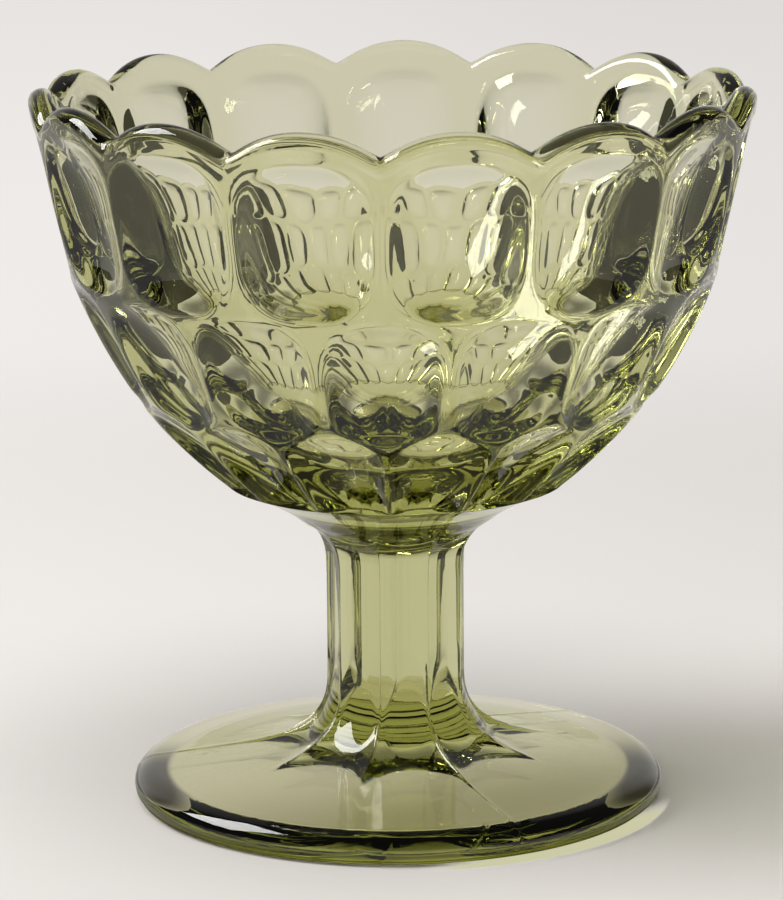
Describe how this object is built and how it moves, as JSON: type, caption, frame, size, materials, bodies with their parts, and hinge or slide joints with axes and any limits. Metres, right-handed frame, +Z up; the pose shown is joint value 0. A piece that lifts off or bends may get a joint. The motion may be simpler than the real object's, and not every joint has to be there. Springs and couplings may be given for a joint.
{
  "type": "footed glass bowl",
  "caption": "Footed chip and dip bowl in olive green pressed glass: a deep bowl with a scalloped lip and rows of thumbprints on a panelled stem and a round foot.",
  "frame": {"origin": "centre of the foot, on the surface that its resting ring stands on", "axes": "+Z up along the axis of the stem and the bowl; a notch of the lip lies towards -Y"},
  "size_m": [0.1408, 0.1406, 0.1421],
  "materials": {
    "olive_glass": "clear olive green pressed glass, fire polished, with a faint mould ripple"
  },
  "bodies": {
    "root": {"foot": "olive_glass", "stem": "olive_glass", "collar": "olive_glass", "bowl": "olive_glass"}
  },
  "joints": []
}
